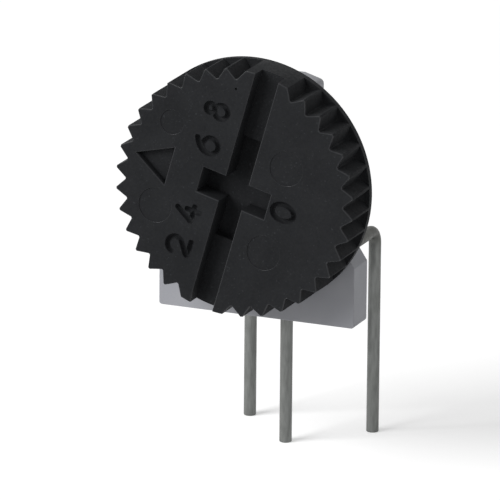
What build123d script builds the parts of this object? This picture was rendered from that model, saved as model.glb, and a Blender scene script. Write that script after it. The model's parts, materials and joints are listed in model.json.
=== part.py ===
"""Side-adjust single-turn trimming potentiometer with a toothed thumbwheel.

Millimetres. X runs to the right, Y to the rear and Z up. The origin is the centre of
the housing's bottom face, which seats on the circuit board. The thumbwheel turns on
an axis along Y, in front of the thin upright housing. Three leads leave the rear of
the housing and bend down through the board.
"""

from build123d import *
from math import cos, radians, sin
import os

os.makedirs("parts", exist_ok=True)

# Housing, as seen from the front
foot_side_wall = 0.77
housing_depth = 1.32
shoulder_start = 0.50
shoulder_run = 0.74
shoulder_rise = 1.10
body_wall = 0.36
tab_width = 4.26
tab_flat_width = 2.76
tab_height = 0.20
tab_drop = 0.22
tab_corner = 0.20
outline_corner = 0.12
axis_height = 5.40
front_wall = 0.55

# Collar on the front wall, which the thumbwheel snaps over and turns on
chamber_radius = 3.10
collar_wall = 0.35
bead_step = 0.15
bead_length = 0.30
collar_lead_in = 0.08

# Thumbwheel
wheel_radius = 4.765
tooth_depth = 0.38
tooth_count = 36
tooth_land = 0.06
flange_thickness = 0.30
runout_length = 0.25
wheel_thickness = 1.95
wheel_gap = 0.30
web_thickness = 1.20
slot_width = 0.92
slot_depth = 0.65
cross_depth = 0.95
cross_length = 2.80
cross_width = 1.00
deep_slot_length = 4.10
pointer_distance = 2.71
pointer_length = 1.37
pointer_width = 1.49
pointer_depth = 0.15

# Fits between the thumbwheel and the collar
running_clearance = 0.05
bead_clearance = 0.06
end_play = 0.07

# Travel, counted from the middle of the range with the pointer straight up
travel_angle = 265.0
stop_margin = 0.5
pointer_angle = 164.2
housing_stop_half = 20.0
stop_width = 0.45
stop_clearance = 0.12
stop_engagement = 0.75

# Ceramic element
ceramic_ledge = 0.25
ceramic_thickness = 0.45
ceramic_foot_drop = 2.55
ceramic_side_margin = 0.11
ceramic_bottom_margin = 0.60
ceramic_clearance = 0.04
film_thickness = 0.03
film_gap = 0.05
track_radius = 2.15
track_width = 0.60
track_angle = 236.0
pad_past_travel = 8.0
collector_radius = 1.35
collector_width = 0.50
trace_width = 0.50
land_radius = 0.50

# Wiper
hub_radius = 1.00
hub_height = 0.70
carrier_thickness = 0.10
carrier_radius = 0.95
carrier_arm_width = 1.10
carrier_arm_reach = 1.35
stake_radius = 0.42
stake_clearance = 0.02
stake_head_radius = 0.62
stake_head_height = 0.20
brush_thickness = 0.08
finger_width = 0.15
finger_gap = 0.07
track_finger_count = 5
collector_finger_count = 3
finger_tip_rise = 0.15
contact_gap = 0.02

# Leads
lead_diameter = 0.48
lead_pitch = 2.54
row_spacing = 2.54
lead_height = 2.25
outer_lead_distance = 5.60
lead_length = 5.80
bend_radius = 0.55
lead_hole_clearance = 0.05
lead_end = 0.27
lead_end_chamfer = 0.05
solder_radius = 0.46
solder_height = 0.20
solder_lip = 0.04
solder_relief = 0.33
relief_clearance = 0.12
seal_recess = 0.03

# Places that follow from the sizes above
collar_radius = chamber_radius + collar_wall
ceramic_radius = chamber_radius + ceramic_ledge
ceramic_foot_width = 2 * (lead_pitch + land_radius + ceramic_side_margin)
ceramic_bottom = lead_height - land_radius - ceramic_bottom_margin
ceramic_foot_top = max(axis_height - ceramic_foot_drop, lead_height + land_radius)
ceramic_foot_height = ceramic_foot_top - ceramic_bottom
foot_width = ceramic_foot_width + 2 * (ceramic_clearance + foot_side_wall)
foot_height = ceramic_foot_top - shoulder_start
body_radius = ceramic_radius + ceramic_clearance + body_wall
tab_top = body_radius + tab_height
front_y = -housing_depth / 2
rear_y = housing_depth / 2
wheel_rear_y = front_y - wheel_gap
wheel_front_y = wheel_rear_y - wheel_thickness
web_rear_y = wheel_front_y + web_thickness
flange_y = wheel_rear_y - flange_thickness
root_radius = wheel_radius - tooth_depth
bead_radius = collar_radius + bead_step
bore_radius = collar_radius + running_clearance
groove_radius = bead_radius + bead_clearance
collar_front_y = web_rear_y + end_play
bead_rear_y = collar_front_y + bead_length
lip_front_y = bead_rear_y + end_play
wall_rear_y = front_y + front_wall
ceramic_front_y = wall_rear_y + film_gap
ceramic_rear_y = ceramic_front_y + ceramic_thickness
film_front_y = ceramic_front_y - film_thickness
lead_drop = lead_height - axis_height
lead_radius = lead_diameter / 2
lead_xs = {"lead_ccw": -lead_pitch, "lead_wiper": 0.0, "lead_cw": lead_pitch}
lead_distances = {
    "lead_ccw": outer_lead_distance,
    "lead_wiper": outer_lead_distance - row_spacing,
    "lead_cw": outer_lead_distance,
}
hub_rear_y = web_rear_y + hub_height
carrier_rear_y = hub_rear_y + carrier_thickness
tooth_pitch = 360 / tooth_count
half_mouth = wheel_radius * sin(radians(tooth_pitch / 2)) - tooth_land / 2
gap_angles = [
    angle
    for angle in (tooth_pitch * (i + 0.5) for i in range(tooth_count))
    if abs(wheel_radius * cos(radians(angle))) > slot_width / 2 + half_mouth
]
wheel_stop_half = (360 - travel_angle) / 2 - stop_margin - housing_stop_half
stop_outer = chamber_radius - stop_clearance
stop_inner = chamber_radius - stop_width
turning_axis = Axis((0, 0, axis_height), (0, 1, 0))


def facing(y):
    """Plane at depth y seen from the front: local x to the right, local y up from the board."""
    return Plane(origin=(0, y, 0), x_dir=(1, 0, 0), z_dir=(0, -1, 0))


def around_axis(y):
    """Plane at depth y seen from the front and centred on the turning axis."""
    return Plane(origin=(0, y, axis_height), x_dir=(1, 0, 0), z_dir=(0, -1, 0))


def on_wheel(y):
    """Plane at depth y, centred on the turning axis, with local x along the pointer."""
    angle = radians(pointer_angle)
    return Plane(origin=(0, y, axis_height), x_dir=(cos(angle), 0, sin(angle)), z_dir=(0, -1, 0))


def through_pointer(side_step):
    """Plane through the axis along the pointer, stepped sideways: local x outwards, local y to the rear."""
    angle = radians(pointer_angle)
    side = Vector(-sin(angle), 0, cos(angle))
    return Plane(
        origin=Vector(0, 0, axis_height) + side * side_step,
        x_dir=(cos(angle), 0, sin(angle)),
        z_dir=side,
    )


def ring_sector(inner, outer, middle_angle, half_angle):
    """Sketch face between two radii, spread half_angle each side of middle_angle."""
    with BuildSketch() as sector:
        with BuildLine():
            start = middle_angle - half_angle
            outside = CenterArc((0, 0), outer, start, 2 * half_angle)
            inside = CenterArc((0, 0), inner, start, 2 * half_angle)
            Line(outside @ 0, inside @ 0)
            Line(outside @ 1, inside @ 1)
        make_face()
    return sector.sketch


def ceramic_outline(margin):
    """Disc with a straight foot for the leads, grown by margin all round."""
    with BuildSketch() as outline:
        Circle(ceramic_radius + margin)
        with Locations((0, ceramic_bottom - axis_height - margin)):
            Rectangle(
                ceramic_foot_width + 2 * margin,
                ceramic_foot_height + 2 * margin,
                align=(Align.CENTER, Align.MIN),
            )
    return outline.sketch


# Housing: upright moulding with a foot, sloped shoulders, a round body and a top tab
with BuildPart() as housing:
    with BuildSketch(facing(front_y)):
        with BuildLine():
            Polyline(
                (-foot_width / 2, 0),
                (foot_width / 2, 0),
                (foot_width / 2, foot_height),
                (foot_width / 2 - shoulder_run, foot_height + shoulder_rise),
                (-foot_width / 2 + shoulder_run, foot_height + shoulder_rise),
                (-foot_width / 2, foot_height),
                close=True,
            )
        make_face()
    extrude(amount=-housing_depth)
    foot_corners = housing.edges().filter_by(Axis.Y).group_by(Axis.Z)[0:2]
    fillet([edge for group in foot_corners for edge in group], radius=outline_corner)
    with BuildSketch(around_axis(front_y)):
        Circle(body_radius)
    extrude(amount=-housing_depth)
    with BuildSketch(around_axis(front_y)):
        with BuildLine():
            Polyline(
                (-tab_width / 2, 0),
                (tab_width / 2, 0),
                (tab_width / 2, tab_top - tab_drop),
                (tab_flat_width / 2, tab_top),
                (-tab_flat_width / 2, tab_top),
                (-tab_width / 2, tab_top - tab_drop),
                close=True,
            )
        make_face()
        fillet(vertices().group_by(Axis.Y)[-2], radius=tab_corner)
    extrude(amount=-housing_depth)

    # Collar with its snap bead
    with BuildSketch(Plane.YZ):
        with BuildLine():
            Polyline(
                (front_y, axis_height + chamber_radius),
                (collar_front_y, axis_height + chamber_radius),
                (collar_front_y, axis_height + bead_radius - collar_lead_in),
                (collar_front_y + collar_lead_in, axis_height + bead_radius),
                (bead_rear_y, axis_height + bead_radius),
                (bead_rear_y, axis_height + collar_radius),
                (front_y, axis_height + collar_radius),
                close=True,
            )
        make_face()
    revolve(axis=turning_axis)

    # Contact chamber through the front wall, and the pocket that takes the ceramic from the rear
    with BuildSketch(around_axis(front_y)):
        Circle(chamber_radius)
    extrude(amount=-housing_depth, mode=Mode.SUBTRACT)
    with BuildSketch(around_axis(wall_rear_y)):
        add(ceramic_outline(ceramic_clearance))
    extrude(amount=wall_rear_y - rear_y, mode=Mode.SUBTRACT)

    # Stop at the bottom of the chamber
    with BuildSketch(around_axis(wall_rear_y)):
        add(ring_sector(stop_inner, (chamber_radius + collar_radius) / 2, 270, housing_stop_half))
    extrude(amount=wall_rear_y - front_y + stop_engagement)

    # Reliefs in the front wall and the stop, over the soldered lead ends
    with BuildSketch(facing(wall_rear_y)):
        with Locations(*[(x, lead_height) for x in lead_xs.values()]):
            Circle(solder_radius + relief_clearance)
    extrude(amount=solder_relief, mode=Mode.SUBTRACT)
housing.part.label = "housing"
export_step(housing.part, "parts/housing.step")

# Thumbwheel: toothed rim that is plain at the slot's ends and at its rear, and hollow for the collar
with BuildPart() as thumbwheel:
    with BuildSketch(around_axis(flange_y)):
        Circle(wheel_radius)
    extrude(amount=flange_y - wheel_front_y)
    with BuildSketch(on_wheel(wheel_front_y)):
        with Locations(*[Location((0, 0, 0), (0, 0, angle)) for angle in gap_angles]):
            Polygon(
                (root_radius, 0),
                (wheel_radius + tooth_depth, 2 * half_mouth),
                (wheel_radius + tooth_depth, -2 * half_mouth),
                align=None,
            )
    extrude(amount=wheel_front_y - flange_y, mode=Mode.SUBTRACT)
    with BuildSketch(Plane.YZ):
        with BuildLine():
            Polyline(
                (flange_y - runout_length, axis_height),
                (flange_y - runout_length, axis_height + root_radius),
                (flange_y, axis_height + wheel_radius),
                (wheel_rear_y, axis_height + wheel_radius),
                (wheel_rear_y, axis_height),
                close=True,
            )
        make_face()
    revolve(axis=turning_axis)

    # Hollow rear with the lip that snaps behind the collar's bead
    with BuildSketch(around_axis(wheel_rear_y)):
        Circle(bore_radius)
    extrude(amount=wheel_rear_y - web_rear_y, mode=Mode.SUBTRACT)
    with BuildSketch(around_axis(lip_front_y)):
        Circle(groove_radius)
    extrude(amount=lip_front_y - web_rear_y, mode=Mode.SUBTRACT)

    # Hub and stake for the wiper, and the lug that meets the housing's stop
    with BuildSketch(on_wheel(web_rear_y)):
        Circle(hub_radius)
    extrude(amount=-hub_height)
    with BuildSketch(on_wheel(hub_rear_y)):
        Circle(stake_radius)
    extrude(amount=-carrier_thickness)
    with BuildSketch(on_wheel(carrier_rear_y)):
        Circle(stake_head_radius)
    extrude(amount=-stake_head_height)
    with BuildSketch(on_wheel(web_rear_y)):
        add(ring_sector(stop_inner, stop_outer, 0, wheel_stop_half))
    extrude(amount=web_rear_y - front_y)

    # Screwdriver slot across the face, deeper at the cross in the middle, and the pointer
    with BuildSketch(on_wheel(wheel_front_y)):
        Rectangle(slot_width, 2 * wheel_radius + slot_width)
    extrude(amount=-slot_depth, mode=Mode.SUBTRACT)
    with BuildSketch(on_wheel(wheel_front_y)):
        Rectangle(slot_width, deep_slot_length)
        Rectangle(cross_length, cross_width)
    extrude(amount=-cross_depth, mode=Mode.SUBTRACT)
    with BuildSketch(on_wheel(wheel_front_y)):
        Polygon(
            (pointer_distance, -pointer_width / 2),
            (pointer_distance + pointer_length, 0),
            (pointer_distance, pointer_width / 2),
            align=None,
        )
    extrude(amount=-pointer_depth, mode=Mode.SUBTRACT)
thumbwheel.part.label = "thumbwheel"
export_step(thumbwheel.part, "parts/thumbwheel.step")

# Ceramic plate with a hole for each lead
with BuildPart() as ceramic_substrate:
    with BuildSketch(around_axis(ceramic_front_y)):
        add(ceramic_outline(0))
        with Locations(*[(x, lead_drop) for x in lead_xs.values()]):
            Circle(lead_radius + lead_hole_clearance, mode=Mode.SUBTRACT)
    extrude(amount=-ceramic_thickness)
ceramic_substrate.part.label = "ceramic_substrate"
export_step(ceramic_substrate.part, "parts/ceramic_substrate.step")

# Resistive track: open ring of cermet film, with its gap at the bottom
with BuildPart() as resistive_track:
    with BuildSketch(around_axis(ceramic_front_y)):
        add(
            ring_sector(
                track_radius - track_width / 2,
                track_radius + track_width / 2,
                90,
                track_angle / 2,
            )
        )
    extrude(amount=film_thickness)
resistive_track.part.label = "resistive_track"
export_step(resistive_track.part, "parts/resistive_track.step")

# Conductor at each end of the track, running down to its lead and kept on the ceramic
end_pads = {"ccw_end_pad": -1, "cw_end_pad": 1}
for pad_name, side in end_pads.items():
    pad_start = track_angle / 2
    pad_end = travel_angle / 2 + pad_past_travel
    pad_middle = 90 - side * (pad_start + pad_end) / 2
    with BuildPart() as end_pad:
        with BuildSketch(around_axis(ceramic_front_y)):
            add(
                ring_sector(
                    track_radius - track_width / 2,
                    track_radius + track_width / 2,
                    pad_middle,
                    (pad_end - pad_start) / 2,
                )
            )
            with BuildLine():
                tail_start = Vector(track_radius, 0).rotate(Axis.Z, pad_middle)
                Line(tail_start, (side * lead_pitch, lead_drop))
            trace(line_width=trace_width)
            with Locations((side * lead_pitch, lead_drop)):
                Circle(land_radius)
                Circle(lead_radius + lead_hole_clearance, mode=Mode.SUBTRACT)
            add(ceramic_outline(0), mode=Mode.INTERSECT)
        extrude(amount=film_thickness)
    end_pad.part.label = pad_name
    export_step(end_pad.part, f"parts/{pad_name}.step")

# Collector: ring of conductor film round the centre, with a trace down to the middle lead
with BuildPart() as collector_ring:
    with BuildSketch(around_axis(ceramic_front_y)):
        with BuildLine():
            Line((0, -collector_radius), (0, lead_drop))
        trace(line_width=trace_width)
        Circle(collector_radius + collector_width / 2)
        Circle(collector_radius - collector_width / 2, mode=Mode.SUBTRACT)
        with Locations((0, lead_drop)):
            Circle(land_radius)
            Circle(lead_radius + lead_hole_clearance, mode=Mode.SUBTRACT)
    extrude(amount=film_thickness)
collector_ring.part.label = "collector_ring"
export_step(collector_ring.part, "parts/collector_ring.step")

# Leads: tinned copper wire through the ceramic, out of the rear and down through the board
for lead_name, lead_x in lead_xs.items():
    wire_front = ceramic_front_y - lead_end
    wire_rear = front_y + lead_distances[lead_name]
    with BuildPart() as lead:
        with BuildLine() as wire_route:
            FilletPolyline(
                (lead_x, wire_front, lead_height),
                (lead_x, wire_rear, lead_height),
                (lead_x, wire_rear, -lead_length),
                radius=bend_radius,
            )
        with BuildSketch(Plane(origin=wire_route.line @ 0, z_dir=wire_route.line % 0)):
            Circle(lead_radius)
        sweep()
        chamfer(lead.edges().group_by(Axis.Z)[0], length=lead_end_chamfer)
    lead.part.label = lead_name
    export_step(lead.part, f"parts/{lead_name}.step")

# Solder: a cone of solder that climbs from the land up each lead end
solder_xs = {"solder_ccw": -lead_pitch, "solder_wiper": 0.0, "solder_cw": lead_pitch}
for solder_name, solder_x in solder_xs.items():
    solder_front_y = film_front_y - solder_height
    with BuildPart() as solder:
        with BuildSketch(Plane(origin=(solder_x, 0, lead_height), x_dir=(0, 1, 0), z_dir=(1, 0, 0))):
            with BuildLine():
                Polyline(
                    (film_front_y, lead_radius),
                    (film_front_y, solder_radius),
                    (solder_front_y, lead_radius + solder_lip),
                    (solder_front_y, lead_radius),
                    close=True,
                )
            make_face()
        revolve(axis=Axis((solder_x, 0, lead_height), (0, 1, 0)))
    solder.part.label = solder_name
    export_step(solder.part, f"parts/{solder_name}.step")

# Rear seal: epoxy that closes the pocket behind the ceramic and grips the leads
with BuildPart() as rear_seal:
    with BuildSketch(around_axis(ceramic_rear_y)):
        add(ceramic_outline(ceramic_clearance))
        with Locations(*[(x, lead_drop) for x in lead_xs.values()]):
            Circle(lead_radius, mode=Mode.SUBTRACT)
    extrude(amount=ceramic_rear_y - rear_y + seal_recess)
rear_seal.part.label = "rear_seal"
export_step(rear_seal.part, "parts/rear_seal.step")

# Wiper carrier: spring sheet staked to the hub, with an arm towards the pointer
with BuildPart() as wiper_carrier:
    with BuildSketch(on_wheel(hub_rear_y)):
        Circle(carrier_radius)
        Rectangle(carrier_arm_reach, carrier_arm_width, align=(Align.MIN, Align.CENTER))
        Circle(stake_radius + stake_clearance, mode=Mode.SUBTRACT)
    extrude(amount=-carrier_thickness)
wiper_carrier.part.label = "wiper_carrier"
export_step(wiper_carrier.part, "parts/wiper_carrier.step")

# Brushes: combs of fine fingers welded to the carrier, which bend back to the ceramic
brushes = {
    "track_brush": (1, carrier_arm_reach, track_radius, track_finger_count),
    "collector_brush": (-1, carrier_radius, collector_radius, collector_finger_count),
}
for brush_name, (side, root_reach, contact_reach, finger_count) in brushes.items():
    finger_pitch = finger_width + finger_gap
    comb_width = finger_count * finger_pitch - finger_gap
    brush_middle_y = carrier_rear_y + brush_thickness / 2
    tip_middle_y = film_front_y - contact_gap - brush_thickness / 2
    strip_start = stake_head_radius + stake_clearance
    with BuildPart() as brush:
        with BuildSketch(through_pointer(0)):
            with BuildLine():
                Line((side * strip_start, brush_middle_y), (side * root_reach, brush_middle_y))
            trace(line_width=brush_thickness)
        extrude(amount=comb_width / 2, both=True)
        for finger in range(finger_count):
            finger_step = (finger - (finger_count - 1) / 2) * finger_pitch
            with BuildSketch(through_pointer(finger_step)):
                with BuildLine():
                    FilletPolyline(
                        (side * strip_start, brush_middle_y),
                        (side * (root_reach - brush_thickness), brush_middle_y),
                        (side * contact_reach, tip_middle_y),
                        (side * (contact_reach + finger_tip_rise), tip_middle_y - finger_tip_rise),
                        radius=brush_thickness,
                    )
                trace(line_width=brush_thickness)
            extrude(amount=finger_width / 2, both=True)
    brush.part.label = brush_name
    export_step(brush.part, f"parts/{brush_name}.step")
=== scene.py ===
"""Looks of a side-adjust trimming potentiometer with a toothed thumbwheel.

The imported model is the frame: places are read from its nodes and its joint, and every piece
made here stands where the node that it replaces stands. Lengths are millimetres, with X to
the right, Y to the rear and Z up, until a finished mesh is turned to metres.
"""

import json
import logging
import math
from collections.abc import Iterator, Sequence
from contextlib import contextmanager
from dataclasses import dataclass
from enum import Enum

import bmesh
import bpy
from mathutils import Matrix, Vector, noise


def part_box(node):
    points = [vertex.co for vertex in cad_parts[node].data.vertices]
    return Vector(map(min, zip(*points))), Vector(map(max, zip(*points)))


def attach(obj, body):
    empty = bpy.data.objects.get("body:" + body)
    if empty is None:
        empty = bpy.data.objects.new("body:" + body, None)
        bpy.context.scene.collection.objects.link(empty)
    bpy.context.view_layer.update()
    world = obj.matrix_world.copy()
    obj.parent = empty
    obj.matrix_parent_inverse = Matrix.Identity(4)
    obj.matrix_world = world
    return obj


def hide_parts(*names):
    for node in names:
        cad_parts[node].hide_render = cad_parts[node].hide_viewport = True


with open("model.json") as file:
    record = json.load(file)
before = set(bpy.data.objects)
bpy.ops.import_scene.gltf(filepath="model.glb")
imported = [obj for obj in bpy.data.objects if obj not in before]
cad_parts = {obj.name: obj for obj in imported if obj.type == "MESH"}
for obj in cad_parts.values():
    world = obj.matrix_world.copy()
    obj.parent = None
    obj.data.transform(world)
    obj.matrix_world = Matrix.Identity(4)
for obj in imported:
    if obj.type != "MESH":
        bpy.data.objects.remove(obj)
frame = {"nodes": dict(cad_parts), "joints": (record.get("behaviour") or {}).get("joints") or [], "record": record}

log = logging.getLogger("trimmer")

MM_PER_METRE = 1000.0
TO_METRES = Matrix.Scale(1 / MM_PER_METRE, 4)
IMAGE_PIXELS = 500
# Face attribute of the eased edges at the wheel's face: use burnishes them glossier, and a lighter colour is
# painted on them as a highlight.
POLISH_AND_HIGHLIGHT = "worn"
# After a cut, corners closer than this are welded and faces that meet flatter are joined.
WELD = 0.003
FLAT_DEGREES = 0.2
# Heights that differ by less than this are the same.
LEVEL_MATCH = 0.001

Point = tuple[float, float]
Triple = tuple[float, float, float]
Colour = tuple[float, float, float, float]
Solid = bmesh.types.BMesh
Piece = bpy.types.Object
Tree = bpy.types.NodeTree
Socket = bpy.types.NodeSocket


class Body(Enum):
    """The two bodies that the joint separates."""

    BASE = "base"
    ROTOR = "rotor"


class Work(Enum):
    """How one solid works on another."""

    CUT = "DIFFERENCE"
    ADD = "UNION"
    KEEP = "INTERSECT"


@dataclass(frozen=True)
class Places:
    """Places that the pieces share, read from the frame."""

    axis_height: float
    wheel_front: float
    wheel_radius: float
    housing_front: float
    seal_front: float
    seal_rear: float
    lead_tip: float

    @classmethod
    def from_frame(cls) -> "Places":
        """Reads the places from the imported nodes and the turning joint.

        Returns:
            The places.
        """
        wheel_low, wheel_high = box_mm("thumbwheel")
        _, housing_high = box_mm("housing")
        seal_low, seal_high = box_mm("rear_seal")
        lead_low, _ = box_mm("lead_wiper")
        return cls(
            axis_height=frame["joints"][0]["pos_m"][2] * MM_PER_METRE,
            wheel_front=wheel_low.y,
            wheel_radius=(wheel_high.x - wheel_low.x) / 2,
            housing_front=housing_high.y - Housing.depth,
            seal_front=seal_low.y,
            seal_rear=seal_high.y,
            lead_tip=lead_low.z,
        )


def box_mm(node: str) -> tuple[Vector, Vector]:
    """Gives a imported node's box.

    Args:
        node: Name of the node.

    Returns:
        Its lowest and highest corners.
    """
    low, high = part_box(node)
    return low * MM_PER_METRE, high * MM_PER_METRE


def linear(code: str) -> Colour:
    """Turns an sRGB hex colour to linear.

    Args:
        code: Six hex digits after a hash sign.

    Returns:
        Linear red, green and blue with an alpha of 1.
    """
    channels = [int(code[i : i + 2], 16) / 255 for i in (1, 3, 5)]
    straight = [c / 12.92 if c <= 0.04045 else ((c + 0.055) / 1.055) ** 2.4 for c in channels]
    return (*straight, 1.0)


# Node trees


def add_node(tree: Tree, kind: str, settings: dict[str, object] | None = None) -> bpy.types.Node:
    """Adds one node to a tree, sets it up and wires its inputs.

    Args:
        tree: Shader or geometry node tree.
        kind: The node's type, as Blender names it.
        settings: What each property or input is set to. A property goes by its name and an
            input by its name or identifier, and an output socket is linked to the input.

    Returns:
        The new node.
    """
    node = tree.nodes.new(kind)
    inputs = {}
    for key, value in (settings or {}).items():
        if hasattr(node, key):
            setattr(node, key, value)
        else:
            inputs[key] = value
    sockets = {socket.name: socket for socket in reversed(node.inputs) if socket.enabled}
    sockets |= {socket.identifier: socket for socket in node.inputs}
    for key, value in inputs.items():
        if isinstance(value, Socket):
            tree.links.new(value, sockets[key])
        else:
            sockets[key].default_value = value
    return node


def emptied(owner: bpy.types.Material | bpy.types.World) -> Tree:
    """Clears the node tree of a new material or world.

    Args:
        owner: The material or the world.

    Returns:
        Its tree, without a node.
    """
    owner.use_nodes = True
    owner.node_tree.nodes.clear()
    return owner.node_tree


def geometry_tree(
    name: str, inputs: dict[str, str], output: str
) -> tuple[Tree, bpy.types.NodeOutputs]:
    """Starts a geometry node tree with named inputs.

    Args:
        name: Name of the tree.
        inputs: Kind of each input by its name.
        output: Name of the mesh that it gives.

    Returns:
        The tree, and its inputs as sockets inside it.
    """
    tree = bpy.data.node_groups.new(name, "GeometryNodeTree")
    for label, kind in inputs.items():
        tree.interface.new_socket(label, in_out="INPUT", socket_type=f"NodeSocket{kind}")
    tree.interface.new_socket(output, in_out="OUTPUT", socket_type="NodeSocketGeometry")
    return tree, add_node(tree, "NodeGroupInput").outputs


def end_tree(tree: Tree, geometry: Socket, finish: Socket, output: str) -> None:
    """Ends a geometry node tree with a real mesh that carries a finish.

    Args:
        tree: The tree.
        geometry: What it has made.
        finish: The finish that it was given.
        output: Name of the mesh that it gives.
    """
    real = add_node(tree, "GeometryNodeRealizeInstances", {"Geometry": geometry}).outputs[0]
    dressed = add_node(tree, "GeometryNodeSetMaterial", {"Geometry": real, "Material": finish})
    add_node(tree, "NodeGroupOutput", {output: dressed.outputs[0]})


def run_tree(piece: Piece, tree: Tree, settings: dict[str, object]) -> None:
    """Runs a geometry node tree on a piece and keeps the plain mesh.

    Args:
        piece: The piece.
        tree: The tree.
        settings: What its inputs are set to, by their names.
    """
    modifier = piece.modifiers.new(tree.name, "NODES")
    modifier.node_group = tree
    for item in tree.interface.items_tree:
        if item.in_out == "INPUT" and item.name in settings:
            modifier[item.identifier] = settings[item.name]
    harden(piece)


# Outlines and solids


def arc(centre: Point, radius: float, start: float, end: float, steps: int) -> list[Point]:
    """Points along an arc, with both ends.

    Args:
        centre: Centre of the arc.
        radius: Its radius.
        start: First angle in degrees, anticlockwise from local x.
        end: Last angle in degrees.
        steps: How many chords divide it.

    Returns:
        One more point than there are steps.
    """
    angles = [math.radians(start + (end - start) * i / steps) for i in range(steps + 1)]
    return [(centre[0] + radius * math.cos(a), centre[1] + radius * math.sin(a)) for a in angles]


def bend(start: Point, pull: Point, end: Point, steps: int) -> list[Point]:
    """Points along a quadratic curve that leaves start towards pull and arrives at end.

    Args:
        start: First point.
        pull: Control point.
        end: Last point.
        steps: How many chords divide it.

    Returns:
        One more point than there are steps.
    """
    curve = []
    for t in (i / steps for i in range(steps + 1)):
        near, middle, far = (1 - t) ** 2, 2 * t * (1 - t), t * t
        curve.append(tuple(near * a + middle * b + far * c for a, b, c in zip(start, pull, end)))
    return curve


def rectangle(along_x: float, along_y: float) -> list[Point]:
    """Outline of a rectangle centred on the local origin."""
    x, y = along_x / 2, along_y / 2
    return [(-x, -y), (x, -y), (x, y), (-x, y)]


def sharp(outline: Sequence[Point]) -> list[Triple]:
    """Gives every corner of an outline a radius of 0."""
    return [(x, y, 0) for x, y in outline]


def eased(corners: Sequence[Triple], steps: int = 6) -> list[Point]:
    """Rounds the corners of a closed outline.

    Args:
        corners: x, y and radius of each corner; a radius of 0 leaves the corner sharp.
        steps: Chords in each rounded corner.

    Returns:
        The points of the outline.
    """
    outline: list[Point] = []
    for i, (x, y, radius) in enumerate(corners):
        if radius <= 0:
            outline.append((x, y))
            continue
        here = Vector((x, y))
        before = (Vector(corners[i - 1][:2]) - here).normalized()
        after = (Vector(corners[(i + 1) % len(corners)][:2]) - here).normalized()
        half = before.angle(after) / 2
        centre = here + (before + after).normalized() * radius / math.sin(half)
        first = here + before * radius / math.tan(half) - centre
        turn = first.angle_signed(here + after * radius / math.tan(half) - centre)
        for step in range(steps + 1):
            spoke = first.copy()
            spoke.rotate(Matrix.Rotation(-turn * step / steps, 2))
            outline.append(tuple(centre + spoke))
    return outline


def grown(outline: Sequence[Point], step: float, least: float = 0.2) -> list[Point]:
    """Moves every side of a closed outline outwards.

    Args:
        outline: Its points, anticlockwise.
        step: How far each side moves.
        least: Bound that keeps a sharp corner from running away, as the cosine at the corner.

    Returns:
        The points of the larger outline.
    """
    larger = []
    for i, (x, y) in enumerate(outline):
        here = Vector((x, y))
        arriving = (here - Vector(outline[i - 1])).normalized()
        leaving = (Vector(outline[(i + 1) % len(outline)]) - here).normalized()
        outwards = Vector((arriving.y + leaving.y, -arriving.x - leaving.x)).normalized()
        stretch = step / max(least, outwards.dot(Vector((arriving.y, -arriving.x))))
        larger.append(tuple(here + outwards * stretch))
    return larger


def stack(sections: Sequence[tuple[float, Sequence[Point]]]) -> Solid:
    """Closed solid through sections of as many points each.

    Args:
        sections: Height and outline of each section, from the lowest up, anticlockwise seen
            from above.

    Returns:
        The solid.
    """
    solid = bmesh.new()
    rings = [[solid.verts.new((x, y, z)) for x, y in outline] for z, outline in sections]
    solid.faces.new(list(reversed(rings[0])))
    solid.faces.new(rings[-1])
    for one, two in zip(rings, rings[1:]):
        for i in range(len(one)):
            j = (i + 1) % len(one)
            solid.faces.new((one[i], one[j], two[j], two[i]))
    return solid


def prism(outline: Sequence[Point], low: float, high: float) -> Solid:
    """Closed solid of one section between two heights."""
    return stack([(low, outline), (high, outline)])


def close_rings(solid: Solid, rings: Sequence[Sequence[bmesh.types.BMVert]], loop: bool) -> Solid:
    """Joins rings of vertices to a closed solid.

    Args:
        solid: The mesh that has the vertices.
        rings: The rings, in order, of as many vertices each.
        loop: Whether the last ring joins the first, instead of a cap at each end.

    Returns:
        The same solid.
    """
    pairs = list(zip(rings, rings[1:])) + ([(rings[-1], rings[0])] if loop else [])
    for one, two in pairs:
        for i in range(len(one)):
            j = (i + 1) % len(one)
            solid.faces.new((one[i], one[j], two[j], two[i]))
    if not loop:
        solid.faces.new(rings[0])
        solid.faces.new(rings[-1])
    bmesh.ops.recalc_face_normals(solid, faces=solid.faces)
    return solid


def spun(profile: Sequence[Point], count: int, ring: bool = False) -> Solid:
    """Closed solid turned about the local z axis.

    Args:
        profile: Radius and height of each point, in order from the front to the back.
        count: Facets round the axis.
        ring: Whether the last point joins the first, instead of a flat cap at each end.

    Returns:
        The solid, with its facets' middles at multiples of their pitch.
    """
    solid = bmesh.new()
    angles = [math.tau * (k + 0.5) / count for k in range(count)]
    rings = [
        [solid.verts.new((r * math.cos(a), r * math.sin(a), z)) for a in angles] for r, z in profile
    ]
    return close_rings(solid, rings, ring)


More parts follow.
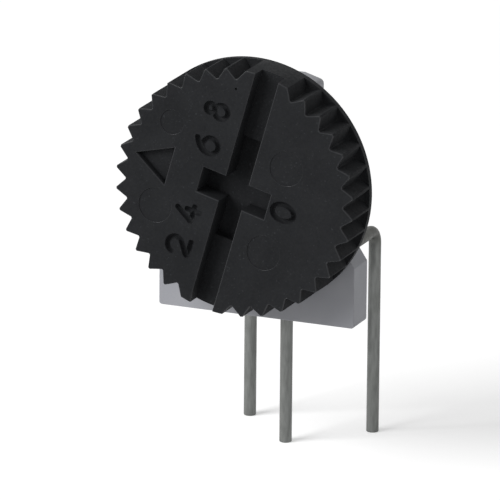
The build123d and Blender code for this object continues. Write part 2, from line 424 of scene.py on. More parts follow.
def bead(
    path: Sequence[Point], radius: float, deep: float, height: float, closed: bool, sides: int = 16
) -> Solid:
    """Oval bead along a flat path, with round ends.

    Args:
        path: Points of its centre line.
        radius: Half the width of the bead.
        deep: Half its depth.
        height: Height of the centre line.
        closed: Whether the path is a loop.
        sides: Facets round the bead.

    Returns:
        The solid.
    """
    points = [Vector((x, y, height)) for x, y in path]
    last = len(points) - 1
    end_steps = 4
    quarters = [math.pi / 2 * k / end_steps for k in range(1, end_steps)]
    solid = bmesh.new()
    rings = []
    for i, point in enumerate(points):
        before = points[i - 1] if closed or i else point
        after = points[(i + 1) % len(points)] if closed or i < last else point
        along = (after - before).normalized()
        across = Vector((-along.y, along.x, 0))
        shifts = [0.0]
        if not closed and i == 0:
            shifts = [-math.cos(quarter) for quarter in quarters] + [0.0]
        if not closed and i == last:
            shifts = [0.0] + [math.sin(quarter) for quarter in quarters]
        for shift in shifts:
            reach = radius * math.sqrt(1 - shift * shift)
            rings.append([
                solid.verts.new(
                    point
                    + along * shift * radius
                    + across * math.cos(math.tau * k / sides) * reach
                    + Vector((0, 0, math.sin(math.tau * k / sides) * reach * deep / radius))
                )
                for k in range(sides)
            ])
    return close_rings(solid, rings, closed)


# Pieces


def linked(name: str, data: bpy.types.ID) -> Piece:
    """Puts a new object into the scene.

    Args:
        name: Name of the object.
        data: Its mesh, light or camera.

    Returns:
        The object.
    """
    made = bpy.data.objects.new(name, data)
    bpy.context.scene.collection.objects.link(made)
    return made


def as_object(name: str, solids: Sequence[Solid]) -> Piece:
    """Puts one or more solids into a new object.

    Args:
        name: Name of the object.
        solids: The solids, which are freed.

    Returns:
        The object, in the scene.
    """
    mesh = bpy.data.meshes.new(name)
    joined = bmesh.new()
    for solid in solids:
        part = bpy.data.meshes.new("part")
        solid.to_mesh(part)
        solid.free()
        joined.from_mesh(part)
        bpy.data.meshes.remove(part)
    joined.to_mesh(mesh)
    joined.free()
    return linked(name, mesh)


def drop(unwanted: Piece) -> None:
    """Removes a helper object and its mesh.

    Args:
        unwanted: The object.
    """
    mesh = unwanted.data
    bpy.data.objects.remove(unwanted)
    bpy.data.meshes.remove(mesh)


def harden(piece: Piece) -> None:
    """Turns a piece with modifiers into the plain mesh that they give.

    Args:
        piece: The piece.
    """
    evaluated = piece.evaluated_get(bpy.context.evaluated_depsgraph_get())
    mesh = bpy.data.meshes.new_from_object(evaluated)
    piece.modifiers.clear()
    rough = piece.data
    piece.data = mesh
    bpy.data.meshes.remove(rough)
    mesh.name = piece.name


@contextmanager
def edited(piece: Piece) -> Iterator[Solid]:
    """Opens a piece's mesh and writes it back.

    Args:
        piece: The piece.

    Yields:
        Its mesh, to be changed.
    """
    solid = bmesh.new()
    solid.from_mesh(piece.data)
    yield solid
    solid.to_mesh(piece.data)
    solid.free()


def work(piece: Piece, tool: Piece, how: Work, overlapping: bool = False) -> None:
    """Cuts or joins a piece with a tool, which is removed.

    Args:
        piece: The piece that is worked on.
        tool: The other solid.
        how: What is done with it.
        overlapping: Whether the piece's or the tool's own solids run into each other.
    """
    modifier = piece.modifiers.new("work", "BOOLEAN")
    modifier.operation = how.value
    modifier.solver = "EXACT"
    modifier.use_self = overlapping
    modifier.object = tool
    harden(piece)
    drop(tool)
    with edited(piece) as solid:
        bmesh.ops.remove_doubles(solid, verts=solid.verts, dist=WELD)
        bmesh.ops.dissolve_degenerate(solid, edges=solid.edges, dist=WELD)
        if not overlapping:
            flat = math.radians(FLAT_DEGREES)
            bmesh.ops.dissolve_limit(solid, angle_limit=flat, verts=solid.verts, edges=solid.edges)


def ease_edges(
    piece: Piece, width: float, sharper_than: float = 35.0, heights: Sequence[float] | None = None
) -> None:
    """Rounds a piece's sharp edges, as a mould leaves them.

    Args:
        piece: The piece.
        width: Width of the rounding.
        sharper_than: Least angle between the faces of a rounded edge, in degrees.
        heights: Local heights; when given, only edges that lie flat at one of them are rounded.
    """
    limit = math.radians(sharper_than)
    with edited(piece) as solid:
        weight = solid.edges.layers.float.new("bevel_weight_edge")
        for edge in solid.edges:
            ends = [vertex.co.z for vertex in edge.verts]
            placed = heights is None or any(
                all(abs(z - height) < LEVEL_MATCH for z in ends) for height in heights
            )
            edge[weight] = 1.0 if placed and edge.calc_face_angle(0) > limit else 0.0
    modifier = piece.modifiers.new("eased", "BEVEL")
    modifier.width = width
    modifier.segments = 2
    modifier.limit_method = "WEIGHT"
    modifier.use_clamp_overlap = False
    harden(piece)


def flip_if_inside_out(piece: Piece) -> None:
    """Turns a closed piece's faces outwards, if a mirrored placement turned them in.

    Args:
        piece: The piece.
    """
    solid = bmesh.new()
    solid.from_mesh(piece.data)
    if solid.calc_volume(signed=True) < 0:
        bmesh.ops.reverse_faces(solid, faces=solid.faces)
        solid.to_mesh(piece.data)
    solid.free()


def seen_from_front(y: float, height: float, turn: float = 0.0) -> Matrix:
    """Placement of a local frame that looks out of the front.

    Args:
        y: Depth of the local origin.
        height: Height of the local origin.
        turn: Angle of local x, in degrees anticlockwise from X.

    Returns:
        The matrix; local z points at the viewer.
    """
    c, s = math.cos(math.radians(turn)), math.sin(math.radians(turn))
    return Matrix(((c, -s, 0, 0), (0, 0, -1, y), (s, c, 0, height), (0, 0, 0, 1)))


def finish_piece(
    piece: Piece, placement: Matrix, material: bpy.types.Material, crisp: float = 32.0
) -> None:
    """Places a finished mesh in metres and gives it its material and smooth shading.

    Args:
        piece: The piece, in millimetres and in its local frame.
        placement: Turns local millimetres into the part's millimetres.
        material: Its finish.
        crisp: Edges sharper than this stay crisp, in degrees.
    """
    mesh = piece.data
    mesh.transform(TO_METRES @ placement)
    mesh.materials.clear()
    mesh.materials.append(material)
    mesh.polygons.foreach_set("material_index", [0] * len(mesh.polygons))
    mesh.polygons.foreach_set("use_smooth", [True] * len(mesh.polygons))
    mesh.set_sharp_from_angle(angle=math.radians(crisp))
    modifier = piece.modifiers.new("normals", "WEIGHTED_NORMAL")
    modifier.keep_sharp = True
    harden(piece)


def hand_over(piece: Piece, body: Body, slot: str, *nodes: str) -> None:
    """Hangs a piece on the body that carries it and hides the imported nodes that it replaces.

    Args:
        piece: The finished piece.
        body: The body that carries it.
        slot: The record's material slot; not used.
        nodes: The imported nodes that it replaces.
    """
    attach(piece, body.value)
    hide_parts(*nodes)
    log.info("%s: %d faces, rides on %s", piece.name, len(piece.data.polygons), body.value)


# Finishes


@dataclass(frozen=True)
class Pattern:
    """Soft random pattern between 0 and 1, with its patches' width in millimetres."""

    size: float
    seed: float
    detail: float = 3.0
    drawn: bool = True


@dataclass(frozen=True)
class Layer:
    """Colour, as sRGB, that comes in over those below it as its guide rises through a span."""

    colour: str
    guide: str
    span: Point
    share: float = 1.0


@dataclass(frozen=True)
class Finish:
    """A surface in two tones, with its colours as sRGB and its grain in millimetres."""

    name: str
    colour: str
    second_colour: str
    roughness: float = 0.5
    ior: float = 1.5
    specular: float = 0.5
    metallic: float = 0.0
    grain: float = 0.1
    relief: float = 0.003
    patch: float = 1.5
    stretch: Triple = (1.0, 1.0, 1.0)
    tone_span: Point = (0.35, 0.7)
    gloss_guide: str = "patches"
    gloss_span: Point = (0.3, 0.7)
    gloss_spread: float = 0.12
    relief_guide: str = "grain"

    def patterns(self) -> dict[str, Pattern]:
        """Random patterns of the surface, by name."""
        return {"patches": Pattern(self.patch, 1.0), "grain": Pattern(self.grain, 2.0)}

    def layers(self) -> list[Layer]:
        """Colours over the first one, from the lowest up."""
        return [Layer(self.second_colour, "patches", self.tone_span)]

    def bearings(self, tree: Tree, place: Socket) -> dict[str, Socket]:
        """Values of a place, beside the patterns, that guide the finish."""
        return {}

    def guides(self, tree: Tree) -> dict[str, Socket]:
        """Adds everything that guides the finish, on coordinates in millimetres.

        Args:
            tree: The material's tree.

        Returns:
            The guides' sockets by name.
        """
        place = add_node(tree, "ShaderNodeTexCoord").outputs["Object"]
        settings = {"operation": "SCALE", "Vector": place, "Scale": MM_PER_METRE}
        place = add_node(tree, "ShaderNodeVectorMath", settings).outputs["Vector"]
        settings = {"operation": "MULTIPLY", "Vector": place, "Vector_001": self.stretch}
        drawn = add_node(tree, "ShaderNodeVectorMath", settings).outputs["Vector"]
        guides = self.bearings(tree, place)
        for name, pattern in self.patterns().items():
            settings = {
                "noise_dimensions": "4D",
                "Vector": drawn if pattern.drawn else place,
                "Scale": 1 / pattern.size,
                "W": pattern.seed,
                "Detail": pattern.detail,
            }
            guides[name] = add_node(tree, "ShaderNodeTexNoise", settings).outputs["Fac"]
        return guides

    def tones(self, tree: Tree, guides: dict[str, Socket]) -> Socket:
        """Lays the colours over each other.

        Args:
            tree: The material's tree.
            guides: The guides' sockets by name.

        Returns:
            The colour's socket.
        """
        colour: Socket | Colour = linear(self.colour)
        for layer in self.layers():
            settings = {
                "Value": guides[layer.guide],
                "From Min": layer.span[0],
                "From Max": layer.span[1],
                "To Max": layer.share,
            }
            share = add_node(tree, "ShaderNodeMapRange", settings).outputs["Result"]
            settings = {
                "data_type": "RGBA",
                "Factor_Float": share,
                "A_Color": colour,
                "B_Color": linear(layer.colour),
            }
            mixed = add_node(tree, "ShaderNodeMix", settings)
            colour = next(socket for socket in mixed.outputs if socket.enabled)
        return colour

    def gloss(self, tree: Tree, guides: dict[str, Socket]) -> Socket:
        """Varies the roughness.

        Args:
            tree: The material's tree.
            guides: The guides' sockets by name.

        Returns:
            The roughness's socket.
        """
        settings = {
            "Value": guides[self.gloss_guide],
            "From Min": self.gloss_span[0],
            "From Max": self.gloss_span[1],
            "To Min": self.roughness * (1 - self.gloss_spread),
            "To Max": min(1.0, self.roughness * (1 + self.gloss_spread)),
        }
        return add_node(tree, "ShaderNodeMapRange", settings).outputs["Result"]

    def material(self) -> bpy.types.Material:
        """Builds the finish, with its even values on the shader's own sockets.

        Returns:
            The material.
        """
        material = bpy.data.materials.new(self.name)
        tree = emptied(material)
        guides = self.guides(tree)
        height, depth = guides[self.relief_guide], self.relief / MM_PER_METRE
        settings = {"Strength": 1.0, "Distance": depth, "Height": height}
        relief = add_node(tree, "ShaderNodeBump", settings).outputs["Normal"]
        settings = {
            "Base Color": self.tones(tree, guides),
            "Roughness": self.gloss(tree, guides),
            "Normal": relief,
            "IOR": self.ior,
            "Specular IOR Level": self.specular,
            "Metallic": self.metallic,
        }
        shader = add_node(tree, "ShaderNodeBsdfPrincipled", settings)
        add_node(tree, "ShaderNodeOutputMaterial", {"Surface": shader.outputs["BSDF"]})
        return material


@dataclass(frozen=True)
class GlassFilledNylon(Finish):
    """Black glass-filled nylon from an eroded mould, burnished where fingers and tools touch, with a highlight
    painted in a lighter colour on its eased edges.
    """

    tone_span: Point = (0.35, 0.68)
    gloss_guide: str = "grain"
    gloss_span: Point = (0.25, 0.75)
    gloss_spread: float = 0.14
    axis_height: float = 5.4
    rub_span: Point = (4.3, 4.72)
    rub_colour: str = "#1e1f21"
    # Glass fibres are about 0.01 mm thick: at that size their specks wouldn't show.
    speck: float = 0.07
    speck_span: Point = (0.64, 0.80)
    speck_share: float = 0.5
    speck_colour: str = "#3c3e41"
    # A lighter colour on the eased face edges: a painted highlight, not the plastic's own colour.
    painted_highlight_colour: str = "#2e2f31"
    burnish_roughness: float = 0.26

    def patterns(self) -> dict[str, Pattern]:
        """Random patterns of the surface, by name."""
        return {
            "patches": Pattern(self.patch, 3.0),
            "grain": Pattern(self.grain, 4.0),
            "specks": Pattern(self.speck, 5.0, detail=1.0),
        }

    def layers(self) -> list[Layer]:
        """Colours over the first one, from the lowest up."""
        return [
            Layer(self.second_colour, "patches", self.tone_span),
            Layer(self.rub_colour, "radius", self.rub_span),
            Layer(self.speck_colour, "specks", self.speck_span, self.speck_share),
            # Painted highlight: the eased face edges are made lighter.
            Layer(self.painted_highlight_colour, "worn", (0.0, 1.0)),
        ]

    def bearings(self, tree: Tree, place: Socket) -> dict[str, Socket]:
        """Distance from the wheel's axis, and which edges are burnished and carry the painted highlight.

        Args:
            tree: The material's tree.
            place: Coordinates in millimetres.

        Returns:
            The values' sockets by name.
        """
        settings = {
            "Vector": place,
            "Location": (0.0, 0.0, -self.axis_height),
            "Scale": (1.0, 0.0, 1.0),
        }
        centred = add_node(tree, "ShaderNodeMapping", settings)
        settings = {"operation": "LENGTH", "Vector": centred.outputs["Vector"]}
        radius = add_node(tree, "ShaderNodeVectorMath", settings)
        worn = add_node(tree, "ShaderNodeAttribute", {"attribute_name": POLISH_AND_HIGHLIGHT})
        return {"radius": radius.outputs["Value"], "worn": worn.outputs["Fac"]}

    def gloss(self, tree: Tree, guides: dict[str, Socket]) -> Socket:
        """Varies the roughness, which is low on the burnished edges.

        Args:
            tree: The material's tree.
            guides: The guides' sockets by name.

        Returns:
            The roughness's socket.
        """
        settings = {
            "Factor_Float": guides["worn"],
            "A_Float": super().gloss(tree, guides),
            "B_Float": self.burnish_roughness,
        }
        return add_node(tree, "ShaderNodeMix", settings).outputs[0]


@dataclass(frozen=True)
class TinnedWire(Finish):
    """Hot-tinned copper wire: dull tin with oxide patches, darker towards the top of the lead, at its bend."""

    tone_span: Point = (0.35, 0.66)
    gloss_guide: str = "streaks"
    gloss_spread: float = 0.2
    relief_guide: str = "lines"
    # Lines from the drawing die are some 0.005 mm apart: only coarser ones show.
    draw_line: float = 0.035
    oxide_span: Point = (0.5, 0.75)
    oxide_share: float = 0.35
    oxide_colour: str = "#50514e"
    # The wire turns darker from the lower to the upper of these heights, up to the bend.
    dark_span: Point = (1.55, 2.05)
    dark_share: float = 0.85
    dark_colour: str = "#454541"

    def patterns(self) -> dict[str, Pattern]:
        """Random patterns of the surface, by name."""
        return {
            "patches": Pattern(self.patch, 6.0, drawn=False),
            "streaks": Pattern(self.grain, 7.0),
            "lines": Pattern(self.draw_line, 8.0, detail=1.0),
        }

    def layers(self) -> list[Layer]:
        """Colours over the first one, from the lowest up."""
        return [
            Layer(self.second_colour, "streaks", self.tone_span),
            Layer(self.oxide_colour, "patches", self.oxide_span, self.oxide_share),
            Layer(self.dark_colour, "height", self.dark_span, self.dark_share),
        ]

    def bearings(self, tree: Tree, place: Socket) -> dict[str, Socket]:
        """Height above the board."""
        split = add_node(tree, "ShaderNodeSeparateXYZ", {"Vector": place})
        return {"height": split.outputs["Z"]}


class Finishes:
    """Every finish of the part, made once."""

    def __init__(self) -> None:
        """Makes the materials and keeps them by the record's slot names."""
        made = {
            # Moulded against an eroded steel face: matt, nearly black, with a few pale specks.
            "thumbwheel_plastic": GlassFilledNylon(
                "black_glass_filled_nylon", "#191a1c", "#1f2022",
                roughness=0.8, specular=0.14, grain=0.09, relief=0.005, patch=1.3,
            ),
            # Moulded polyester: an even, cool mid grey with a soft sheen.
            "housing_plastic": Finish(
                "grey_moulded_pbt", "#9c9da2", "#95969c",
                roughness=0.55, ior=1.55, specular=0.35, grain=0.07, relief=0.0025, patch=1.8,
            ),
            # Dipped in tin and aged: dull grey metal, streaked along the wire.
            "tinned_wire": TinnedWire(
                "hot_tinned_copper_wire", "#7c7e7c", "#6d6f6d",
                roughness=0.45, metallic=0.6, specular=0.3, grain=0.12, patch=0.9,
                stretch=(1.0, 1.0, 0.2),
            ),
            # Frozen from the melt: bright, with a slightly frosty skin.
            "solder": Finish(
                "tin_solder", "#b9babb", "#a3a4a4",
                roughness=0.28, metallic=1.0, grain=0.09, relief=0.002, patch=0.25,
            ),
            # Pressed and fired: warm white and chalky. Its grain, 0.005 mm, is drawn coarser.
            "alumina": Finish(
                "sintered_alumina", "#e4e2da", "#dcd9cf",
                roughness=0.6, ior=1.76, specular=0.4, grain=0.02, relief=0.0012, patch=0.9,
            ),
            # Printed and fired glass with metal oxide: a smooth, dark, slightly glossy film.
            "cermet_film": Finish(
                "fired_cermet_film", "#232326", "#2d2c2c",
                roughness=0.38, ior=1.6, grain=0.03, relief=0.002, patch=0.3,
            ),
            # Printed and fired metal: pale and warm, with a satin gleam.
            "conductor_film": Finish(
                "fired_silver_palladium", "#b7b4aa", "#a5a196",
                roughness=0.45, metallic=1.0, grain=0.03, relief=0.002, patch=0.3,
            ),
            # Poured and cured in place: smooth, dark blue-grey and glossy, with a slow ripple.
            "epoxy_seal": Finish(
                "cast_epoxy", "#4a4f55", "#42474d",
                roughness=0.24, ior=1.55, grain=0.5, relief=0.004, patch=1.2,
            ),
            # Cold rolled: golden, with a sheen drawn out along the sheet.
            "spring_alloy": Finish(
                "rolled_spring_bronze", "#d2b98a", "#c4aa7a",
                roughness=0.3, metallic=1.0, grain=0.05, relief=0.0015, patch=0.4,
                stretch=(0.2, 1.0, 1.0),
            ),
            # Drawn and formed: a bright, nearly white metal with fine lines along it.
            "brush_alloy": Finish(
                "drawn_palladium_alloy", "#dcd5c5", "#cbc3b1",
                roughness=0.22, metallic=1.0, grain=0.04, relief=0.001, patch=0.2,
                stretch=(0.2, 1.0, 1.0),
            ),
        }
        self.by_slot = {slot: finish.material() for slot, finish in made.items()}

    def dress_nodes(self) -> None:
        """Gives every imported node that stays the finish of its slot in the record."""
        slots = {part["node"]: part["material_slot"] for part in frame["record"]["subparts"]}
        for name, node in frame["nodes"].items():
            if node.hide_render:
                continue
            material = self.by_slot[slots[name]]
            for place in node.material_slots:
                place.material = material
            log.info("%s keeps its solid, with %s", name, material.name)


# Thumbwheel


@dataclass
class Thumbwheel:
    """Black moulded wheel that snaps over the housing's collar."""

    places: Places
    pointer_angle: float = 164.2
    thickness: float = 1.95
    web_thickness: float = 1.20
    bore_radius: float = 3.50
    groove_radius: float = 3.66
    lip_length: float = 0.31
    hub_radius: float = 1.00
    hub_height: float = 0.70
    stake_radius: float = 0.42
    stake_length: float = 0.10
    stake_head_radius: float = 0.62
    stake_head_height: float = 0.20
    stake_dome_end: float = -80.0
    lug_inner: float = 2.65
    lug_outer: float = 2.98
    lug_half_angle: float = 27.0
    lug_length: float = 1.05
    tooth_count: int = 36
    tooth_depth: float = 0.38
    tooth_land: float = 0.06
    flange_thickness: float = 0.30
    runout_length: float = 0.25
    runout_rise: float = 0.30
    runout_steps: int = 5
    gap_overshoot: float = 0.03
    gap_floor: float = 0.06
    slot_width: float = 0.92
    slot_depth: float = 0.65
    deep_slot_length: float = 4.10
    cross_depth: float = 0.95
    cross_length: float = 2.80
    cross_width: float = 1.00
    pointer_distance: float = 2.71
    pointer_length: float = 1.37
    pointer_width: float = 1.49
    pointer_depth: float = 0.30
    edge: float = 0.038
    recess_edge: float = 0.06
    recess_lip: tuple[Point, ...] = ((-0.3, 0.3), (1.0, 2.2))
    facets: int = 288
    digit_height: float = 0.89
    digit_width: float = 0.62
    digit_foot: float = 1.06
    digits_across: tuple[tuple[int, float], ...] = ((2, 2.80), (4, 1.43), (6, -1.38), (8, -2.79))
    zero_place: Point = (-2.06, -0.04)
    stroke_radius: float = 0.11
    stroke_depth: float = 0.19
    stroke_lift: float = 0.006
    second_lift: float = 0.7
    ejector_pins: tuple[Triple, ...] = (
        (-1.70, -1.71, 0.66), (-1.75, 1.75, 0.66), (2.82, 1.66, 0.66), (3.07, -1.68, 0.47)
    )
    ejector_depth: float = 0.028
    ejector_edge: float = 0.02
    pit_place: Point = (1.03, -3.88)
    pit_radius: float = 0.05
    pit_depth: float = 0.07
    polish_and_highlight_depth: float = 0.075
    polish_and_highlight_slope: Point = (0.1, 0.985)

    def blank(self) -> Solid:
        """The turned form: face, rim, snap bore, hub and staked end.

        Returns:
            The solid, with the front face at local z 0.
        """
        tip = self.places.wheel_radius
        hub_end = -self.web_thickness - self.hub_height
        head = hub_end - self.stake_length
        profile = [
            (tip, 0),
            (tip, -self.thickness),
            (self.bore_radius, -self.thickness),
            (self.bore_radius, self.lip_length - self.thickness),
            (self.groove_radius, self.lip_length - self.thickness),
            (self.groove_radius, -self.web_thickness),
            (self.hub_radius, -self.web_thickness),
            (self.hub_radius, hub_end),
            (self.stake_radius, hub_end),
            (self.stake_radius, head),
        ]
        dome = arc((0, head), self.stake_head_radius, 0, self.stake_dome_end, steps=8)
        squash = self.stake_head_height / self.stake_head_radius
        profile += [(r, head + (z - head) * squash) for r, z in dome]
        profile[-1] = (profile[-1][0], head - self.stake_head_height)
        return spun(profile, self.facets)

    def lug(self) -> Solid:
        """Lug behind the web, which meets the housing's stop at both ends of the travel.

        Returns:
            The solid.
        """
        half = self.lug_half_angle
        outline = arc((0, 0), self.lug_outer, -half, half, 14)
        outline += arc((0, 0), self.lug_inner, half, -half, 14)
        root = self.cross_depth - self.web_thickness
        return prism(outline, -self.web_thickness - self.lug_length, root)

    @property
    def half_mouth(self) -> float:
        """Half the width of a tooth gap at the rim."""
        half_pitch = self.places.wheel_radius * math.sin(math.pi / self.tooth_count)
        return half_pitch - self.tooth_land / 2

    def gap(self) -> Piece:
        """One gap between teeth: a sharp groove that runs out in a scoop before the rim's rear.

        Returns:
            The cutter of the gap that lies along local x.
        """
        tip = self.places.wheel_radius
        root = tip - self.tooth_depth
        outer = tip + self.gap_overshoot
        half_outer = self.half_mouth * (outer - root) / self.tooth_depth
        scoop_start = self.flange_thickness - self.thickness + self.runout_length
        sections = [(root, self.tooth_depth), (root, scoop_start)]
        for step in range(1, self.runout_steps + 1):
            angle = math.pi / 2 * step / self.runout_steps
            floor = root + self.runout_rise * (1 - math.cos(angle))
            sections.append((floor, scoop_start - self.runout_length * math.sin(angle)))
        solid = bmesh.new()
        rings = []
        for floor, z in sections:
            half_floor = max(
                self.gap_floor / 2, self.half_mouth * (floor - root) / self.tooth_depth
            )
            corners = (
                (floor, -half_floor), (outer, -half_outer), (outer, half_outer), (floor, half_floor)
            )
            rings.append([solid.verts.new((x, y, z)) for x, y in corners])
        return as_object("tooth_gap", [close_rings(solid, rings, loop=False)])

    def gap_ring(self, material: bpy.types.Material) -> Piece:
        """All gaps, repeated round the axis by a node tree, but for those at the slot's ends.

        Args:
            material: Finish that the tree sets on the result.

        Returns:
            One cutter with every gap.
        """
        kinds = {
            "Gap Count": "Int",
            "First Angle": "Float",
            "Rim Radius": "Float",
            "Plain Half Width": "Float",
            "Gap": "Object",
            "Finish": "Material",
        }
        tree, given = geometry_tree("repeat_round_axis", kinds, "Gaps")
        points = add_node(tree, "GeometryNodePoints", {"Count": given["Gap Count"]})
        settings = {"operation": "DIVIDE", "Value": math.tau, "Value_001": given["Gap Count"]}
        pitch = add_node(tree, "ShaderNodeMath", settings)
        settings = {
            "operation": "MULTIPLY_ADD",
            "Value": add_node(tree, "GeometryNodeInputIndex").outputs["Index"],
            "Value_001": pitch.outputs[0],
            "Value_002": given["First Angle"],
        }
        angle = add_node(tree, "ShaderNodeMath", settings).outputs[0]
        euler = add_node(tree, "ShaderNodeCombineXYZ", {"Z": angle})
        turn = add_node(tree, "FunctionNodeEulerToRotation", {"Euler": euler.outputs[0]})
        # A gap stays where its middle lies further from the slot than the plain rim reaches.
        chosen = angle
        for operation, other in (
            ("COSINE", 0.0),
            ("MULTIPLY", given["Rim Radius"]),
            ("ABSOLUTE", 0.0),
            ("GREATER_THAN", given["Plain Half Width"]),
        ):
            settings = {"operation": operation, "Value": chosen, "Value_001": other}
            chosen = add_node(tree, "ShaderNodeMath", settings).outputs[0]
        source = add_node(tree, "GeometryNodeObjectInfo", {"Object": given["Gap"]})
        settings = {
            "Points": points.outputs[0],
            "Selection": chosen,
            "Instance": source.outputs["Geometry"],
            "Rotation": turn.outputs[0],
        }
        copies = add_node(tree, "GeometryNodeInstanceOnPoints", settings)
        end_tree(tree, copies.outputs[0], given["Finish"], "Gaps")
        gap = self.gap()
        ring = as_object("tooth_gaps", [])
        settings = {
            "Gap Count": self.tooth_count,
            "First Angle": math.pi / self.tooth_count,
            "Rim Radius": self.places.wheel_radius,
            "Plain Half Width": self.slot_width / 2 + self.half_mouth,
            "Gap": gap,
            "Finish": material,
        }
        run_tree(ring, tree, settings)
        drop(gap)
        return ring

    def recess(self, outline: Sequence[Point], depth: float, edge: float) -> Solid:
        """Cutter for a flat-floored recess whose edge on the face is eased.

        Args:
            outline: Its outline below the eased edge.
            depth: Its depth.
            edge: Width of the eased edge.

        Returns:
            The cutter.
        """
        sections = [(-depth, outline), (-edge, outline)]
        sections += [(edge * up, grown(outline, edge * out)) for up, out in self.recess_lip]
        return stack(sections)

    def glyph(self, digit: int) -> list[tuple[list[Point], bool]]:
        """Strokes of a plain digit, with x to the right and y up from its foot.

        Args:
            digit: 0, 2, 4, 6 or 8.

        Returns:
            Each stroke's points and whether it is a loop.
        """
        # Turns are in degrees, and all other numbers are shares of the half width or height.
        side, top = self.digit_width / 2, self.digit_height
        if digit == 0:
            ring = arc((0, top / 2), top / 2, 0, 345, 23)
            return [([(x * side / (top / 2), y) for x, y in ring], True)]
        if digit == 2:
            neck = bend((-side * 0.72, side * 0.3), (-side, 0), (-side * 0.6, 0), 5)
            return [(arc((0, top - side), side, 165, -35, 16) + neck + [(side, 0)], False)]
        if digit == 4:
            bar, mast = top * 0.27, side * 0.45
            knee = bend((-side * 0.8, top * 0.36), (-side, bar), (-side * 0.75, bar), 5)
            slope = [(side * 0.25, top)] + knee + [(side, bar)]
            return [(slope, False), ([(mast, top * 0.58), (mast, 0)], False)]
        if digit == 6:
            tail = bend((side * 0.5, top), (-side, top * 0.8), (-side, side), 9)
            return [(tail + arc((0, side), side, 190, 520, 22), False)]
        low = side * 0.86
        high = (top - 2 * low) / 2
        return [
            (arc((0, low), low, 0, 345, 23), True),
            (arc((0, top - high), high, 0, 340, 17), True),
        ]

    def digits(self) -> list[Solid]:
        """Cutters of the sunk dial digits, which have their tops towards the pointer.

        Returns:
            One solid for each stroke.
        """
        placed = [(digit, self.digit_foot, across) for digit, across in self.digits_across]
        placed.append((0, self.zero_place[0] - self.digit_height / 2, self.zero_place[1]))
        beads = []
        for digit, foot, across in placed:
            for order, (stroke, closed) in enumerate(self.glyph(digit)):
                path = [(foot + y, across - x) for x, y in stroke]
                lift = self.stroke_lift * (1 + self.second_lift * order)
                beads.append(bead(path, self.stroke_radius, self.stroke_depth, lift, closed))
        return beads

    def marks(self) -> list[Solid]:
        """Cutters of the ejector pins' shallow marks and of one moulding pit.

        Returns:
            One solid for each mark.
        """
        cutters = [
            self.recess(arc((x, y), radius, 0, 355, 71), self.ejector_depth, self.ejector_edge)
            for x, y, radius in self.ejector_pins
        ]
        pit = arc(self.pit_place, self.pit_radius, 0, 330, 11)
        return cutters + [prism(pit, -self.pit_depth, self.edge)]

    def mark_polished_highlit_edges(self, wheel: Piece) -> None:
        """Marks the eased edges of the face, which fingers and drivers burnish, for the finish's lower roughness
        and its painted highlight.

        Args:
            wheel: The wheel, in its local frame.
        """
        least, most = self.polish_and_highlight_slope
        with edited(wheel) as solid:
            layer = solid.faces.layers.float.new(POLISH_AND_HIGHLIGHT)
            for face in solid.faces:
                near_face = all(vertex.co.z > -self.polish_and_highlight_depth for vertex in face.verts)
                face[layer] = 1.0 if near_face and least < face.normal.z < most else 0.0

    def build(self, finishes: Finishes) -> None:
        """Makes the wheel and puts it in its node's place.

        Args:
            finishes: The part's finishes.
        """
        material = finishes.by_slot["thumbwheel_plastic"]
        wheel = as_object("thumbwheel_moulding", [self.blank()])
        work(wheel, as_object("lug", [self.lug()]), Work.ADD)
        work(wheel, self.gap_ring(material), Work.CUT)
        ease_edges(wheel, self.edge, heights=(0.0, -self.thickness))
        slot = rectangle(self.slot_width, 2 * self.places.wheel_radius + self.slot_width)
        deep_slot = rectangle(self.slot_width, self.deep_slot_length)
        cross = rectangle(self.cross_length, self.cross_width)
        pointer = [
            (self.pointer_distance, -self.pointer_width / 2),
            (self.pointer_distance + self.pointer_length, 0),
            (self.pointer_distance, self.pointer_width / 2),
        ]
        recesses = as_object("slot", [self.recess(slot, self.slot_depth, self.recess_edge)])
        floor = prism(deep_slot, -self.cross_depth, -self.recess_edge)
        work(recesses, as_object("deep_slot", [floor]), Work.ADD)
        crossing = self.recess(cross, self.cross_depth, self.recess_edge)
        work(recesses, as_object("cross", [crossing]), Work.ADD)
        work(wheel, recesses, Work.CUT)
        arrow = self.recess(pointer, self.pointer_depth, self.recess_edge)
        work(wheel, as_object("pointer", [arrow]), Work.CUT)
        sunk = as_object("sunk_digits", self.digits())
        work(sunk, as_object("ejector_marks", self.marks()), Work.ADD, overlapping=True)
        work(wheel, sunk, Work.CUT)
        self.mark_polished_highlit_edges(wheel)
        front, height = self.places.wheel_front, self.places.axis_height
        finish_piece(wheel, seen_from_front(front, height, self.pointer_angle), material)
        hand_over(wheel, Body.ROTOR, "thumbwheel_plastic", "thumbwheel")


# Housing


